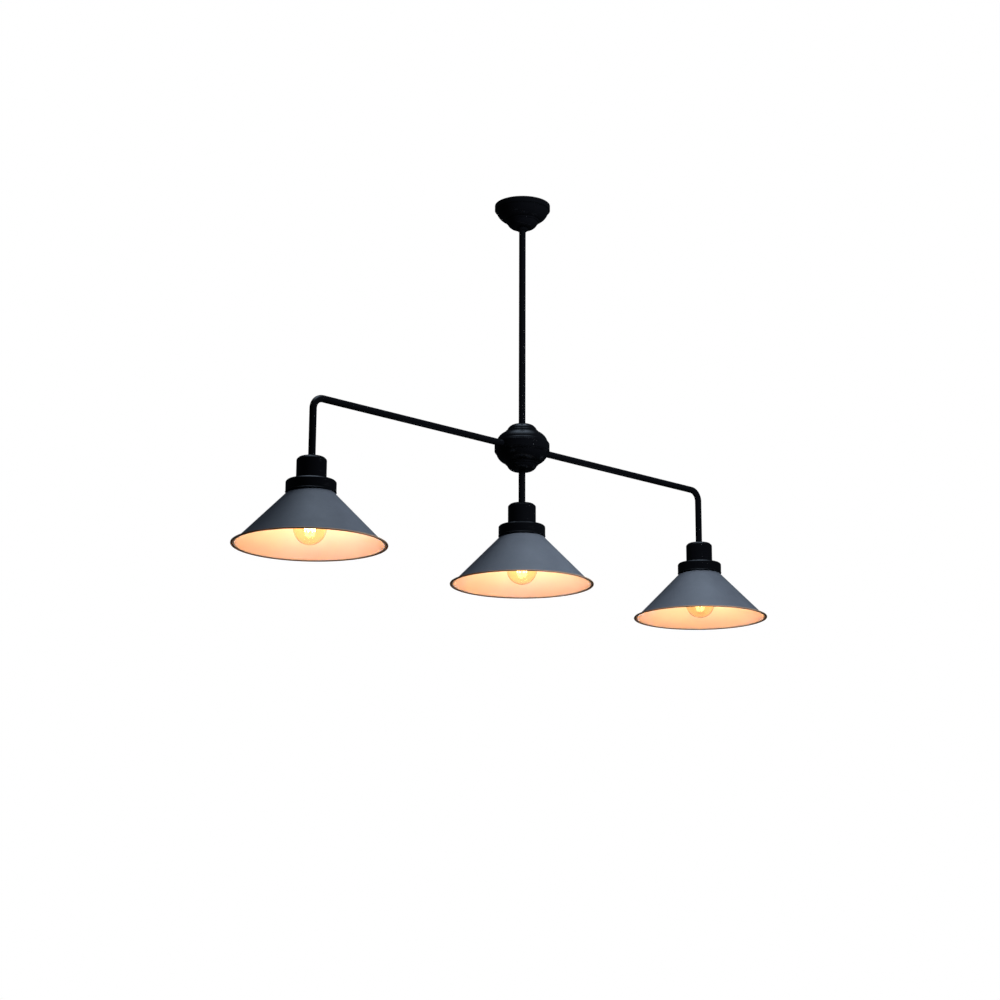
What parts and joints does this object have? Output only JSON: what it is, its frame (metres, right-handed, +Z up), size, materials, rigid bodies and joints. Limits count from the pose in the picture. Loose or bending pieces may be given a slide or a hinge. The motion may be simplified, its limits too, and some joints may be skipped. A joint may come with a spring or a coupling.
{
  "type": "pool table lamp",
  "caption": "Linear ceiling pendant for a pool table: canopy, straight stem, stepped round hub, two bent arms and conical metal shades with screw-in bulbs.",
  "frame": {"origin": "on the ceiling plate's upper face, on the stem's axis", "axes": "+X along the row of lamps, +Y across it on the side of the terminal block, +Z up towards the ceiling; the lamp hangs below the origin"},
  "size_m": [1.32, 0.28, 0.7851],
  "materials": {
    "black_paint": "satin black powder coat",
    "shade_paint": "satin slate paint outside, white enamel inside",
    "zinc_steel": "zinc plated",
    "brass": "plain",
    "holder_plastic": "moulded phenolic",
    "porcelain": "unglazed",
    "terminal_plastic": "moulded",
    "wire_sleeve": "extruded",
    "earth_sleeve": "extruded",
    "bulb_glass": "clear, warm tint",
    "bulb_metal": "rolled thread",
    "bulb_insulator": "dark glass with a metal button",
    "filament": "lit filaments on a glass mount"
  },
  "bodies": {
    "fixture": {"ceiling_plate": "zinc_steel", "stem_yoke": "zinc_steel", "plate_screws": "zinc_steel", "terminal_block": "terminal_plastic", "terminal_screws": "brass", "earth_wire": "earth_sleeve", "earth_screw": "brass", "stem_tube": "black_paint", "threaded_nipples": "zinc_steel", "lock_nuts": "zinc_steel", "hub_upper_cup": "black_paint", "hub_band": "black_paint", "hub_lower_cup": "black_paint", "hub_core": "zinc_steel", "hub_grub_screws": "zinc_steel", "arm_left": "black_paint", "arm_right": "black_paint", "drop_tube": "black_paint", "wires_left": "wire_sleeve", "wires_centre": "wire_sleeve", "wires_right": "wire_sleeve", "holder_inserts": "porcelain", "centre_contacts": "brass", "socket_cup_left": "black_paint", "socket_cup_centre": "black_paint", "socket_cup_right": "black_paint", "shade_cap_left": "black_paint", "shade_cap_centre": "black_paint", "shade_cap_right": "black_paint", "shade_left": "shade_paint", "shade_centre": "shade_paint", "shade_right": "shade_paint", "shade_ring_left": "holder_plastic", "shade_ring_centre": "holder_plastic", "shade_ring_right": "holder_plastic", "holder_top_left": "holder_plastic", "holder_top_centre": "holder_plastic", "holder_top_right": "holder_plastic", "holder_skirt_left": "holder_plastic", "holder_skirt_centre": "holder_plastic", "holder_skirt_right": "holder_plastic", "screw_shell_left": "brass", "screw_shell_centre": "brass", "screw_shell_right": "brass"},
    "canopy": {"canopy": "black_paint", "canopy_collar": "black_paint", "collar_screw": "zinc_steel"},
    "bulb_travel_left": {"bulb_contact_left": "bulb_insulator"},
    "bulb_left": {"bulb_glass_left": "bulb_glass", "bulb_base_left": "bulb_metal", "bulb_filament_left": "filament"},
    "bulb_travel_centre": {"bulb_contact_centre": "bulb_insulator"},
    "bulb_centre": {"bulb_glass_centre": "bulb_glass", "bulb_base_centre": "bulb_metal", "bulb_filament_centre": "filament"},
    "bulb_travel_right": {"bulb_contact_right": "bulb_insulator"},
    "bulb_right": {"bulb_glass_right": "bulb_glass", "bulb_base_right": "bulb_metal", "bulb_filament_right": "filament"}
  },
  "joints": [
    {"name": "canopy_slide", "type": "slide", "parent": "fixture", "child": "canopy", "axis": [0, 0, -1], "range_m": [0, 0.38]},
    {"name": "bulb_left_travel", "type": "slide", "parent": "fixture", "child": "bulb_travel_left", "axis": [0, 0, -1], "range_m": [0, 0.02177]},
    {"name": "bulb_left_turn", "type": "hinge", "parent": "bulb_travel_left", "child": "bulb_left", "pos_m": [-0.52, 0, -0.67313], "axis": [0, 0, -1], "range_deg": [0, 2160]},
    {"name": "bulb_centre_travel", "type": "slide", "parent": "fixture", "child": "bulb_travel_centre", "axis": [0, 0, -1], "range_m": [0, 0.02177]},
    {"name": "bulb_centre_turn", "type": "hinge", "parent": "bulb_travel_centre", "child": "bulb_centre", "pos_m": [0, 0, -0.67313], "axis": [0, 0, -1], "range_deg": [0, 2160]},
    {"name": "bulb_right_travel", "type": "slide", "parent": "fixture", "child": "bulb_travel_right", "axis": [0, 0, -1], "range_m": [0, 0.02177]},
    {"name": "bulb_right_turn", "type": "hinge", "parent": "bulb_travel_right", "child": "bulb_right", "pos_m": [0.52, 0, -0.67313], "axis": [0, 0, -1], "range_deg": [0, 2160]}
  ],
  "couplings": [
    {"joint": "bulb_left_travel", "follows": "bulb_left_turn", "m_per_rad": 0.00057751},
    {"joint": "bulb_centre_travel", "follows": "bulb_centre_turn", "m_per_rad": 0.00057751},
    {"joint": "bulb_right_travel", "follows": "bulb_right_turn", "m_per_rad": 0.00057751}
  ]
}
